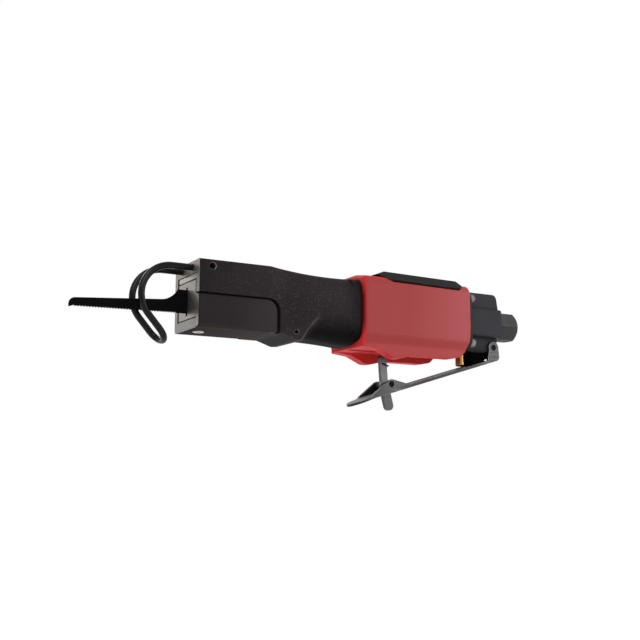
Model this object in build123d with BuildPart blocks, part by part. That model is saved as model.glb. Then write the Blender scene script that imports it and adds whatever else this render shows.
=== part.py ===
from build123d import *
from math import cos, radians, sin, sqrt, tan
import os

os.makedirs("parts", exist_ok=True)

# Stages of the tool along its axis, from the inlet mouth at X = 0 forward to the nose
hex_length = 16.5
cap_length = 28.5
flange_thickness = 5.0
gasket_thickness = 0.5
sleeve_length = 76.2
neck_length = 38.3
nose_length = 66.0
x_cap = -hex_length
x_seat = x_cap - cap_length
x_flange = x_seat - flange_thickness
x_barrel = x_flange - gasket_thickness
x_neck = x_barrel - sleeve_length
x_heel = x_neck - neck_length
x_nose = x_heel - nose_length

# Outside of the casting
nose_half = 17.5
nose_top = 19.8
nose_bottom = -18.4
nose_edge = 0.6
nose_round = 2.0
blend_start = 44.0
ramp_start = 52.2
ramp_end = 61.5
waist_offset = 9.0
waist_half = 17.8
waist_top = 18.3
waist_bottom = -19.4
heel_bottom = -21.5
barrel_half = 18.4
barrel_corner = 6.5
barrel_wall = 3.9
neck_half = barrel_half + 2.2
neck_top = barrel_half + 1.0
neck_bottom = -barrel_half - 3.3
neck_corner = 15.0
relief_r = 16.0
relief_y = 28.6
relief_z = -18.0
relief_flare = 11.5
heel_edge = 2.2

# Fits
fit = 0.05
running_fit = 0.06
seam = 0.4

# Nose window, cover and guide bar
window_half = 13.5
window_top = 12.6
window_bottom = -12.9
chamber_length = 49.0
cover_length = 49.2
cover_top = 0.8
cover_groove = 1.1
cover_corner = 7.0
cover_edge = 0.9
plate_thickness = 4.0
plate_far = 1.9
plate_near = 0.9
blade_slot_width = 2.2
bar_bottom = 9.2
bar_gap = 0.6
bar_face = 1.6
plate_top = bar_bottom - bar_gap
foot_length = 8.5
foot_thickness = 1.6
cover_screw_x = 7.3
cover_screw_r = 1.7
cover_screw_head_r = 3.3
cover_screw_head = 0.6

# Wire guard
wire_r = 1.9
guard_half = 7.3
guard_z = 16.2
guard_socket = 22.0
guard_reach = 12.5
guard_loop_r = 17.0
guard_sweep = 131.0
guard_leg = 10.0
grub_x = 8.0
grub_r = 1.9
grub_sink = 3.4
grub_rim = 0.35
pin_r = 1.35
pin_x = 60.8
pin_z = -16.9

# Motor
bore_r = barrel_half - barrel_wall
liner_wall = 3.0
rod_r = 6.0
rod_gap = 2.0
bushing_r = 10.0
bushing_length = 16.0
seal_length = 2.5
bumper_length = 6.0
bumper_chamfer = 1.0
liner_seal_inset = 6.0
liner_seal_width = 2.0
liner_seal_depth = 1.4
ring_inset = 5.0
ring_width = 2.0
ring_depth = 1.6
valve_plate_length = 4.0
valve_chest_length = 9.0
valve_pocket = 3.6
disc_thickness = 1.2
piston_length = 44.0
piston_gap = 16.0
half_stroke = 5.0

# Blade and its holder
blade_thickness = 1.0
blade_reach = 67.2
blade_root = 22.0
shank_top = 4.4
shank_bottom = -8.9
tooth_pitch = 1.6
tooth_depth = 0.7
holder_r = 10.6
holder_gap = 0.6
holder_length = 28.0
holder_screw_r = 2.0

# Grip sleeve and exhaust deflector
sleeve_wall = 4.1
sleeve_half = barrel_half + sleeve_wall
sleeve_top = barrel_half + sleeve_wall
sleeve_lap = 1.8
sleeve_flat = 8.0
front_round = 2.8
rear_round = 2.0
shoulder_in = 2.6
shoulder_drop = 2.1
flank_drop = 5.7
shoulder_round = 4.0
crease_up = 7.4
crease_round = 8.0
hollow_in = 2.3
hollow_up = 2.0
hollow_round = 6.0
channel_half = 13.0
channel_roof = -barrel_half - 3.9
core_half = barrel_half + 1.6
core_corner = barrel_corner + 1.6
deflector_start = 10.7
deflector_tail = 3.0
deflector_half = sleeve_half - 1.2
deflector_rise = 3.35
deflector_tilt = 1.0
deflector_hang = 3.0
deflector_band = 0.8
deflector_slope = 8.3
deflector_round = 1.2
hip_length = 8.0
hip_drop = 0.9
pocket_gap = 0.9
pocket_run = 9.5
pocket_tail = 6.1
pocket_step = 4.0
vent_pitch = 4.0
vent_width = 1.6
exhaust_length = 30.0
exhaust_half = 8.0

# Rear cap, screws and inlet
bolt_r = 1.5
bolt_grip = 34.0
bolt_head_r = 2.75
bolt_head = 3.6
bolt_pitch = barrel_half - bolt_head_r - 1.45
bolt_room = 2.3
cap_round = 1.2
arm_half = 12.0
arm_height = bolt_pitch - bolt_head_r - bolt_room
arm_lift = 0.5
spine_half = bolt_pitch - bolt_head_r - bolt_room
spine_top = barrel_half + 1.4
keel_bottom = -barrel_half
pad_gap = 0.4
pad_half = 6.4
hex_flats = 17.5
inlet_r = 5.7
inlet_depth = 13.0
passage_r = 4.2
spigot_r = 7.4
spigot_length = 9.0
screen_thickness = 0.8
inlet_seal_thickness = 1.0

# Throttle valve
throttle_x = x_seat + 3.3
throttle_r = 5.0
throttle_seat = -10.5
throttle_roof = 8.0
plunger_r = 3.0
plunger_nose = 0.9
ball_r = 4.2
spring_wire = 0.5
spring_r = 3.2
spring_pitch = 2.0

# Lever
lever_droop = 16.8
lever_lift = 8.0
lever_heel = 1.0
heel_round = 3.0
lever_half = 9.0
lever_sheet = 1.6
lever_drop = 8.85
lever_lip = 0.25
lever_length = 111.5
pivot_x = x_cap - 4.5
pivot_z = keel_bottom + 3.3
pivot_r = 1.9
ear_r = 3.8
dimple_height = 0.5
tip_bend = 5.0
tip_length = 13.5
lever_gap = 0.2
keel_half = lever_half - lever_sheet - lever_gap

# Safety catch
catch_u = 83.7
catch_v = -3.5
catch_pin_r = 1.35
catch_head_r = 2.0
catch_crown = 2.8
catch_groove = 1.4
catch_half = 1.4
catch_arm = 18.7
catch_arm_width = 4.6
catch_lean = 3.5
catch_tab = 15.8
catch_tab_width = 5.8
catch_slant = 14.0


def ring_section(x, half, top, bottom, upper_corner, lower_corner):
    with BuildSketch(Plane.YZ.offset(x)) as section:
        with Locations((0, (top + bottom) / 2)):
            Rectangle(2 * half, top - bottom)
        fillet(section.vertices().group_by(Axis.Y)[-1], upper_corner)
        fillet(section.vertices().group_by(Axis.Y)[0], lower_corner)
    return section.sketch


def keep(piece, name):
    piece.part.label = name
    export_step(piece.part, "parts/" + name + ".step")


# Stations that several pieces share
x_chamber = x_nose + chamber_length
x_bushing = x_chamber + bushing_length
x_rod_seal = x_bushing + seal_length
x_bumper = x_rod_seal + 17.0
x_liner = x_bumper + bumper_length
x_chest = x_barrel - valve_chest_length
x_plate = x_chest - valve_plate_length
liner_r = bore_r - liner_wall
x_piston_rear = x_plate - piston_gap
x_piston = x_piston_rear - piston_length
x_liner_seals = (x_liner + liner_seal_inset, x_plate - liner_seal_inset - liner_seal_width)
x_rings = (x_piston + ring_inset, x_piston_rear - ring_inset - ring_width)
blade_z = (shank_top + shank_bottom) / 2
holder_front = plate_thickness + half_stroke + holder_gap
x_grub = x_nose + grub_x
x_pin = x_nose + pin_x
x_cover_screw = x_nose + cover_screw_x
x_exhaust = x_neck + 0.53 * sleeve_length
x_catch = pivot_x - catch_u * cos(radians(lever_droop)) - catch_v * sin(radians(lever_droop))

# Heel of the nose with its ramp, kept proud of the rounder neck
with BuildPart() as heel_block:
    with BuildSketch(Plane.XZ) as heel:
        with BuildLine():
            Polyline(
                (x_nose + blend_start - 4, -4),
                (x_nose + blend_start - 4, nose_bottom),
                (x_nose + ramp_start, nose_bottom),
                (x_nose + ramp_end, heel_bottom),
                (x_heel - 0.6, heel_bottom + 0.1),
                (x_heel + 6.5, -9.5),
                (x_heel + 8.0, -4),
                close=True,
            )
        make_face()
    extrude(amount=nose_half, both=True)
    heel_rear = heel_block.edges().filter_by(lambda e: e.center().X > x_heel - 0.5)
    heel_rear = heel_rear.filter_by(lambda e: abs(abs(e.center().Y) - nose_half) < 0.1)
    fillet(heel_rear.filter_by(lambda e: e.center().Z < -5), heel_edge)

# Finger hollows along the lower sides of the neck, running out towards the grip
with BuildPart() as relief:
    for side in (-1, 1):
        along = (cos(radians(relief_flare)), side * sin(radians(relief_flare)), 0)
        with BuildSketch(Plane(origin=(x_heel - 4, side * relief_y, relief_z), z_dir=along)):
            Circle(relief_r)
        extrude(amount=neck_length + 8)

# Main casting: nose block, heel, neck blend and motor barrel
with BuildPart() as main_housing:
    nose_ring = ring_section(x_nose, nose_half, nose_top, nose_bottom, nose_edge, nose_round)
    extrude(nose_ring, amount=blend_start)
    blend_ring = ring_section(x_nose + blend_start, nose_half, nose_top, nose_bottom, nose_edge, nose_round)
    waist_ring = ring_section(x_heel + waist_offset, waist_half, waist_top, waist_bottom, 7.0, 12.0)
    neck_ring = ring_section(x_neck, neck_half, neck_top, neck_bottom, neck_corner - 1, neck_corner)
    loft(sections=[blend_ring, waist_ring, neck_ring])
    add(relief.part, mode=Mode.SUBTRACT)
    add(heel_block.part)
    neck_rim = main_housing.faces().sort_by(Axis.X)[-1].outer_wire().edges()
    fillet(neck_rim, 3.0)
    with BuildSketch(Plane.YZ.offset(x_neck - 6)):
        RectangleRounded(2 * barrel_half, 2 * barrel_half, barrel_corner)
    extrude(amount=sleeve_length + 6)
    # Blade chamber behind the front window, rod bore and motor bore
    with BuildSketch(Plane.YZ.offset(x_nose)):
        with Locations((0, (window_top + window_bottom) / 2)):
            Rectangle(2 * window_half, window_top - window_bottom)
    extrude(amount=chamber_length, mode=Mode.SUBTRACT)
    with BuildSketch(Plane.YZ.offset(x_chamber)):
        Circle(bushing_r + fit)
    extrude(amount=bushing_length + seal_length, mode=Mode.SUBTRACT)
    with BuildSketch(Plane.YZ.offset(x_rod_seal)):
        Circle(rod_r + rod_gap)
    extrude(amount=x_bumper - x_rod_seal, mode=Mode.SUBTRACT)
    with BuildSketch(Plane.YZ.offset(x_bumper)):
        Circle(bore_r)
    extrude(amount=x_barrel - x_bumper, mode=Mode.SUBTRACT)
    # Keyway under the rod bushing and the cross hole of its pin
    with BuildSketch(Plane.XZ) as keyway:
        with Locations(((x_chamber + x_pin + 4) / 2, pin_z / 2 - 2)):
            Rectangle(x_pin + 4 - x_chamber, -pin_z - 4)
    extrude(amount=4 + fit, both=True, mode=Mode.SUBTRACT)
    with BuildSketch(Plane.XZ):
        with Locations((x_pin, pin_z)):
            Circle(pin_r + fit)
    extrude(amount=nose_half + 1, both=True, mode=Mode.SUBTRACT)
    # Seat of the cover in the near wall
    with BuildSketch(Plane.XZ.offset(window_half)) as cover_seat:
        with BuildLine():
            Polyline(
                (x_nose - 1, cover_top + seam),
                (x_nose + cover_length + cover_groove, cover_top + seam),
                (x_nose + cover_length + cover_groove, nose_bottom - 1),
                (x_nose - 1, nose_bottom - 1),
                close=True,
            )
        make_face()
        corner = cover_seat.vertices().sort_by(lambda v: v.X + v.Y)[-1]
        fillet(corner, cover_corner)
    extrude(amount=nose_half - window_half + 1, mode=Mode.SUBTRACT)
    with BuildSketch(Plane.XY.offset(nose_bottom - 1)):
        with Locations((x_cover_screw, 0)):
            Circle(cover_screw_r + fit)
    extrude(amount=window_bottom - nose_bottom + 2, mode=Mode.SUBTRACT)
    # Guard leg sockets and their set-screw holes
    with BuildSketch(Plane.YZ.offset(x_nose)):
        with Locations((guard_half, guard_z), (-guard_half, guard_z)):
            Circle(wire_r + fit)
    extrude(amount=guard_socket, mode=Mode.SUBTRACT)
    for side in (-1, 1):
        with BuildSketch(Plane.XZ.offset(side * guard_half)):
            with Locations((x_grub, guard_z)):
                Circle(grub_r + fit)
        extrude(amount=side * (nose_half - guard_half + 1), mode=Mode.SUBTRACT)
    grub_edges = main_housing.edges().filter_by(GeomType.CIRCLE)
    grub_edges = grub_edges.filter_by(lambda e: abs(e.arc_center.X - x_grub) < 0.1)
    chamfer(grub_edges.filter_by(lambda e: abs(abs(e.arc_center.Y) - nose_half) < 0.1), grub_rim)
    # Exhaust port in the top of the barrel and holes of the through bolts
    with BuildSketch(Plane.XY.offset(liner_r)):
        with Locations((x_exhaust, 0)):
            SlotOverall(0.5 * exhaust_length, 7)
    extrude(amount=barrel_half, mode=Mode.SUBTRACT)
    with BuildSketch(Plane.YZ.offset(x_barrel)):
        with GridLocations(2 * bolt_pitch, 2 * bolt_pitch, 2, 2):
            Circle(bolt_r + fit)
    extrude(amount=-bolt_grip, mode=Mode.SUBTRACT)
keep(main_housing, "main_housing")

# Lower cover: side panel and front plate in one piece
with BuildPart() as blade_cover:
    with BuildSketch(Plane.XZ.offset(window_half)) as panel:
        with BuildLine():
            Polyline(
                (x_nose, cover_top),
                (x_nose + cover_length, cover_top),
                (x_nose + cover_length, nose_bottom),
                (x_nose, nose_bottom),
                close=True,
            )
        make_face()
        corner = panel.vertices().sort_by(lambda v: v.X + v.Y)[-1]
        fillet(corner, cover_corner)
    extrude(amount=nose_half - window_half)
    outer = blade_cover.faces().sort_by(Axis.Y)[0]
    rear_edge = outer.edges().filter_by(GeomType.LINE).sort_by(Axis.X)[-1]
    fillet(rear_edge, 2.4)
    outer = blade_cover.faces().sort_by(Axis.Y)[0]
    low_edge = outer.edges().filter_by(GeomType.LINE).sort_by(Axis.Z)[0]
    fillet(low_edge, nose_round)
    outer = blade_cover.faces().sort_by(Axis.Y)[0]
    front_edge = outer.edges().filter_by(GeomType.LINE).sort_by(Axis.X)[0]
    fillet(front_edge, cover_edge)
    plate_bottom = window_bottom + bar_gap
    plate_width = 2 * window_half - plate_far - plate_near
    with BuildSketch(Plane.YZ.offset(x_nose)):
        with Locations(((plate_near - plate_far) / 2, (plate_top + plate_bottom) / 2)):
            Rectangle(plate_width, plate_top - plate_bottom)
        with Locations((-window_half, (cover_top + plate_bottom) / 2)):
            Rectangle(2 * plate_near, cover_top - plate_bottom)
    extrude(amount=plate_thickness)
    with BuildSketch(Plane.YZ.offset(x_nose + plate_thickness)):
        with Locations((0, window_bottom + seam / 4 + foot_thickness / 2)):
            Rectangle(14, foot_thickness)
    extrude(amount=foot_length)
    with BuildSketch(Plane.YZ.offset(x_nose)):
        with Locations((0, blade_z)):
            Rectangle(blade_slot_width, shank_top - shank_bottom + 3.0)
    extrude(amount=plate_thickness, mode=Mode.SUBTRACT)
    with BuildSketch(Plane.XY.offset(window_bottom - 1)):
        with Locations((x_cover_screw, 0)):
            Circle(cover_screw_r)
    extrude(amount=foot_thickness + 3, mode=Mode.SUBTRACT)
keep(blade_cover, "blade_cover")

with BuildPart() as cover_screw:
    with BuildSketch(Plane.XY.offset(nose_bottom)):
        with Locations((x_cover_screw, 0)):
            Circle(cover_screw_r)
    extrude(amount=window_bottom - nose_bottom + foot_thickness)
    with BuildSketch(Plane.XY.offset(nose_bottom)):
        with Locations((x_cover_screw, 0)):
            Circle(cover_screw_head_r)
    extrude(amount=-cover_screw_head)
    fillet(cover_screw.faces().sort_by(Axis.Z)[0].edges(), 0.4 * cover_screw_head)
    with BuildSketch(Plane.XY.offset(nose_bottom - cover_screw_head)):
        with Locations((x_cover_screw, 0)):
            RegularPolygon(1.15, 6)
    extrude(amount=1.2, mode=Mode.SUBTRACT)
keep(cover_screw, "cover_screw")

# Bar across the top of the window, round at its far end, its face set back from the roof
with BuildPart() as guide_bar:
    bar_height = window_top - bar_bottom
    bar_length = 2 * window_half - plate_far
    with BuildSketch(Plane.YZ.offset(x_nose)) as bar_front:
        with Locations((-plate_far / 2, bar_bottom + (bar_height - bar_gap) / 2)):
            Rectangle(bar_length, bar_height - bar_gap)
        fillet(bar_front.vertices().group_by(Axis.X)[-1], 0.45 * (bar_height - bar_gap))
    extrude(amount=bar_face)
    with BuildSketch(Plane.YZ.offset(x_nose + bar_face)) as bar_back:
        with Locations((-plate_far / 2, bar_bottom + bar_height / 2)):
            Rectangle(bar_length, bar_height)
        fillet(bar_back.vertices().group_by(Axis.X)[-1], 0.45 * bar_height)
    extrude(amount=plate_thickness - bar_face)
keep(guide_bar, "guide_bar")

# Wire guard: two legs, a forward loop and a cross bend below the blade
with BuildPart() as wire_guard:
    loop_x = x_nose - guard_reach
    loop_z = guard_z - guard_loop_r
    half_turn = radians(90 + guard_sweep / 2)
    full_turn = radians(90 + guard_sweep)
    leg_x = loop_x + guard_loop_r * cos(full_turn)
    leg_z = loop_z + guard_loop_r * sin(full_turn)
    run_x = -sin(full_turn)
    run_z = cos(full_turn)
    foot_x = leg_x + guard_leg * run_x
    foot_z = leg_z + guard_leg * run_z
    with BuildLine() as guard_path:
        for y in (-guard_half, guard_half):
            Line((x_nose + guard_socket - 0.5, y, guard_z), (loop_x, y, guard_z))
            ThreePointArc(
                (loop_x, y, guard_z),
                (loop_x + guard_loop_r * cos(half_turn), y, loop_z + guard_loop_r * sin(half_turn)),
                (leg_x, y, leg_z),
            )
            Line((leg_x, y, leg_z), (foot_x, y, foot_z))
        ThreePointArc(
            (foot_x, -guard_half, foot_z),
            (foot_x + guard_half * run_x, 0, foot_z + guard_half * run_z),
            (foot_x, guard_half, foot_z),
        )
    start = Plane(origin=(x_nose + guard_socket - 0.5, -guard_half, guard_z), z_dir=(-1, 0, 0))
    with BuildSketch(start):
        Circle(wire_r)
    sweep()
keep(wire_guard, "wire_guard")

# Set screws that clamp the guard legs from both sides
with BuildPart() as guard_set_screws:
    for side in (-1, 1):
        with BuildSketch(Plane.XZ.offset(side * (guard_half + wire_r + fit))):
            with Locations((x_grub, guard_z)):
                Circle(grub_r)
        extrude(amount=side * (nose_half - guard_half - wire_r - fit - grub_sink))
        with BuildSketch(Plane.XZ.offset(side * (nose_half - grub_sink))):
            with Locations((x_grub, guard_z)):
                RegularPolygon(1.15, 6)
        extrude(amount=-side * 2.2, mode=Mode.SUBTRACT)
keep(guard_set_screws, "guard_set_screws")

# Rod bushing with a key that the cross pin locks
with BuildPart() as rod_bushing:
    with BuildSketch(Plane.YZ.offset(x_chamber)):
        Circle(bushing_r)
    extrude(amount=bushing_length)
    with BuildSketch(Plane.XZ):
        with Locations((x_pin, (pin_z - 8) / 2)):
            Rectangle(7, -pin_z - 8)
    extrude(amount=4, both=True)
    with BuildSketch(Plane.YZ.offset(x_chamber)):
        Circle(rod_r + running_fit)
    extrude(amount=bushing_length, mode=Mode.SUBTRACT)
    with BuildSketch(Plane.XZ):
        with Locations((x_pin, pin_z)):
            Circle(pin_r + fit)
    extrude(amount=5, both=True, mode=Mode.SUBTRACT)
keep(rod_bushing, "rod_bushing")

with BuildPart() as retaining_pin:
    with BuildSketch(Plane.XZ):
        with Locations((x_pin, pin_z)):
            Circle(pin_r)
            Circle(0.5 * pin_r, mode=Mode.SUBTRACT)
    extrude(amount=nose_half - 0.9, both=True)
keep(retaining_pin, "retaining_pin")

with BuildPart() as rod_seal:
    with BuildSketch(Plane.YZ.offset(x_bushing)):
        Circle(bushing_r)
        Circle(rod_r + running_fit, mode=Mode.SUBTRACT)
    extrude(amount=seal_length)
keep(rod_seal, "rod_seal")

with BuildPart() as front_bumper:
    with BuildSketch(Plane.YZ.offset(x_bumper)):
        Circle(bore_r - fit)
        Circle(rod_r + rod_gap, mode=Mode.SUBTRACT)
    extrude(amount=bumper_length)
    bumper_lip = front_bumper.faces().sort_by(Axis.X)[-1].edges().sort_by(SortBy.LENGTH)[0]
    chamfer(bumper_lip, bumper_chamfer)
keep(front_bumper, "front_bumper")

# Liner with exhaust port and grooves for its two seals
with BuildPart() as cylinder:
    with BuildSketch(Plane.YZ.offset(x_liner)):
        Circle(bore_r - fit)
        Circle(liner_r, mode=Mode.SUBTRACT)
    extrude(amount=x_plate - x_liner)
    for x in x_liner_seals:
        with BuildSketch(Plane.YZ.offset(x)):
            Circle(bore_r)
            Circle(bore_r - liner_seal_depth, mode=Mode.SUBTRACT)
        extrude(amount=liner_seal_width, mode=Mode.SUBTRACT)
    with BuildSketch(Plane.XY.offset(liner_r - 2)):
        with Locations((x_exhaust, 0)):
            SlotOverall(0.45 * exhaust_length, 6)
    extrude(amount=liner_wall + 3, mode=Mode.SUBTRACT)
keep(cylinder, "cylinder")

with BuildPart() as cylinder_seals:
    for x in x_liner_seals:
        with BuildSketch(Plane.YZ.offset(x + fit)):
            Circle(bore_r - fit / 2)
            Circle(bore_r - liner_seal_depth + fit, mode=Mode.SUBTRACT)
        extrude(amount=liner_seal_width - 2 * fit)
keep(cylinder_seals, "cylinder_seals")

# Piston head and rod in one piece
with BuildPart() as piston:
    with BuildSketch(Plane.YZ.offset(x_piston)):
        Circle(liner_r - running_fit)
    extrude(amount=piston_length)
    with BuildSketch(Plane.YZ.offset(x_piston)):
        Circle(rod_r)
    rod_front = x_nose + holder_front + blade_root - 5
    extrude(amount=rod_front - x_piston)
    for x in x_rings:
        with BuildSketch(Plane.YZ.offset(x)):
            Circle(liner_r)
            Circle(liner_r - ring_depth, mode=Mode.SUBTRACT)
        extrude(amount=ring_width, mode=Mode.SUBTRACT)
    with BuildSketch(Plane.YZ.offset(x_piston_rear)):
        Circle(0.6 * liner_r)
    extrude(amount=-0.6 * piston_length, mode=Mode.SUBTRACT)
keep(piston, "piston")

with BuildPart() as piston_rings:
    for x in x_rings:
        with BuildSketch(Plane.YZ.offset(x + fit)):
            Circle(liner_r - running_fit / 2)
            Circle(liner_r - ring_depth + fit, mode=Mode.SUBTRACT)
        extrude(amount=ring_width - 2 * fit)
keep(piston_rings, "piston_rings")

# Clamp on the rod's front end: slot for the blade, two screws from the near side
x_holder = x_nose + holder_front
x_holder_screws = (x_holder + 4.0, x_holder + 10.0)
with BuildPart() as blade_holder:
    with BuildSketch(Plane.YZ.offset(x_holder)):
        Circle(holder_r)
    extrude(amount=holder_length)
    chamfer(blade_holder.edges().filter_by(GeomType.CIRCLE), 0.8)
    with BuildSketch(Plane.XZ):
        with Locations((x_holder + (blade_root - holder_front) / 2, blade_z)):
            Rectangle(blade_root - holder_front + 0.3, shank_top - shank_bottom + 2 * fit)
    extrude(amount=blade_thickness / 2 + fit, both=True, mode=Mode.SUBTRACT)
    with BuildSketch(Plane.YZ.offset(x_holder + holder_length)):
        Circle(rod_r + fit)
    extrude(amount=rod_front - x_holder - holder_length, mode=Mode.SUBTRACT)
    with BuildSketch(Plane.XZ):
        with Locations(*[(x, blade_z) for x in x_holder_screws]):
            Circle(holder_screw_r + fit)
    extrude(amount=holder_r, mode=Mode.SUBTRACT)
keep(blade_holder, "blade_holder")

with BuildPart() as holder_screws:
    with BuildSketch(Plane.XZ.offset(blade_thickness / 2 + fit)):
        with Locations(*[(x, blade_z) for x in x_holder_screws]):
            Circle(holder_screw_r)
    extrude(amount=holder_r - 2.2)
    with BuildSketch(Plane.XZ.offset(holder_r - 2.2 + blade_thickness / 2 + fit)):
        with Locations(*[(x, blade_z) for x in x_holder_screws]):
            RegularPolygon(1.1, 6)
    extrude(amount=-2.0, mode=Mode.SUBTRACT)
keep(holder_screws, "holder_screws")

# Saw blade: shank, concave flare, straight back and toothed lower edge
with BuildPart() as saw_blade:
    x_tip = x_nose - blade_reach
    tooth_count = int((blade_reach - 8) / tooth_pitch)
    teeth = []
    for i in range(tooth_count):
        x = x_nose - 6 - i * tooth_pitch
        z = shank_bottom - 0.02 * (x_nose - x)
        teeth.append((x, z))
        teeth.append((x - 0.35 * tooth_pitch, z + tooth_depth))
    with BuildSketch(Plane.XZ):
        with BuildLine():
            Polyline(
                (x_nose - 5.5, shank_top),
                (x_nose + blade_root, shank_top),
                (x_nose + blade_root, shank_bottom),
                (x_nose - 3, shank_bottom),
                *teeth,
                (x_tip, shank_bottom - 1.6),
                (x_tip, shank_bottom + 0.4),
            )
            ThreePointArc(
                (x_tip, shank_bottom + 0.4),
                (x_tip + 1.4, shank_bottom + 2.9),
                (x_tip + 3.5, shank_bottom + 3.6),
            )
            Line((x_tip + 3.5, shank_bottom + 3.6), (x_nose - 14.4, shank_top - 6.3))
            ThreePointArc(
                (x_nose - 14.4, shank_top - 6.3),
                (x_nose - 9.0, shank_top - 4.0),
                (x_nose - 5.5, shank_top),
            )
        make_face()
    extrude(amount=blade_thickness / 2, both=True)
keep(saw_blade, "saw_blade")

# Automatic valve behind the cylinder
with BuildPart() as valve_plate:
    with BuildSketch(Plane.YZ.offset(x_plate)):
        Circle(bore_r - fit)
        with PolarLocations(0.55 * bore_r, 6):
            Circle(1.2, mode=Mode.SUBTRACT)
    extrude(amount=valve_plate_length)
keep(valve_plate, "valve_plate")

with BuildPart() as valve_disc:
    with BuildSketch(Plane.YZ.offset(x_chest + (valve_pocket - disc_thickness) / 2)):
        Circle(0.72 * bore_r - 0.3)
    extrude(amount=disc_thickness)
    chamfer(valve_disc.edges(), 0.2)
keep(valve_disc, "valve_disc")

with BuildPart() as valve_chest:
    with BuildSketch(Plane.YZ.offset(x_chest)):
        Circle(bore_r - fit)
    extrude(amount=valve_chest_length)
    with BuildSketch(Plane.YZ.offset(x_chest)):
        Circle(0.72 * bore_r)
    extrude(amount=valve_pocket, mode=Mode.SUBTRACT)
    with BuildSketch(Plane.YZ.offset(x_barrel)):
        Circle(passage_r)
        with PolarLocations(0.55 * bore_r, 6):
            Circle(1.2)
    extrude(amount=-valve_chest_length, mode=Mode.SUBTRACT)
keep(valve_chest, "valve_chest")

with BuildPart() as cap_gasket:
    with BuildSketch(Plane.YZ.offset(x_barrel)):
        RectangleRounded(2 * barrel_half, 2 * barrel_half, barrel_corner)
        Circle(0.8 * bore_r, mode=Mode.SUBTRACT)
        with GridLocations(2 * bolt_pitch, 2 * bolt_pitch, 2, 2):
            Circle(bolt_r + fit, mode=Mode.SUBTRACT)
    extrude(amount=gasket_thickness)
keep(cap_gasket, "cap_gasket")

# Pocket in the top of the sleeve: sloped ends, a falling ledge and the core left around the barrel
x_sleeve_end = x_barrel + sleeve_lap
x_deflector = x_neck + deflector_start
x_deflector_end = x_sleeve_end - deflector_tail
x_ledge = x_deflector + pocket_run
x_ledge_end = x_deflector_end - pocket_tail
fall = tan(radians(deflector_tilt))
deflector_top = sleeve_top + deflector_rise
ledge_z = sleeve_top - deflector_hang - deflector_band - pocket_gap
front_z = ledge_z - fall * pocket_run
rear_z = ledge_z - fall * (x_ledge_end - x_deflector)
pocket_ramp = (sleeve_top - front_z) / pocket_run
with BuildPart() as pocket:
    with BuildSketch(Plane.XZ) as ledge:
        with BuildLine():
            Polyline(
                (x_deflector - 6, sleeve_top + 6 * pocket_ramp),
                (x_ledge, front_z),
                (x_ledge_end, rear_z),
                (x_deflector_end, rear_z + pocket_step),
                (x_deflector_end, deflector_top + 4),
                (x_deflector - 6, deflector_top + 4),
                close=True,
            )
        make_face()
        fillet(ledge.vertices().group_by(Axis.Y)[0], 3.0)
        fillet(ledge.vertices().filter_by_position(Axis.Y, front_z - 0.1, front_z + 0.1), 3.0)
    extrude(amount=sleeve_half + 2, both=True)
    with BuildSketch(Plane.YZ.offset(x_neck)):
        RectangleRounded(2 * core_half, 2 * core_half, core_corner)
    extrude(amount=sleeve_length + sleeve_lap, mode=Mode.SUBTRACT)

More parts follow.
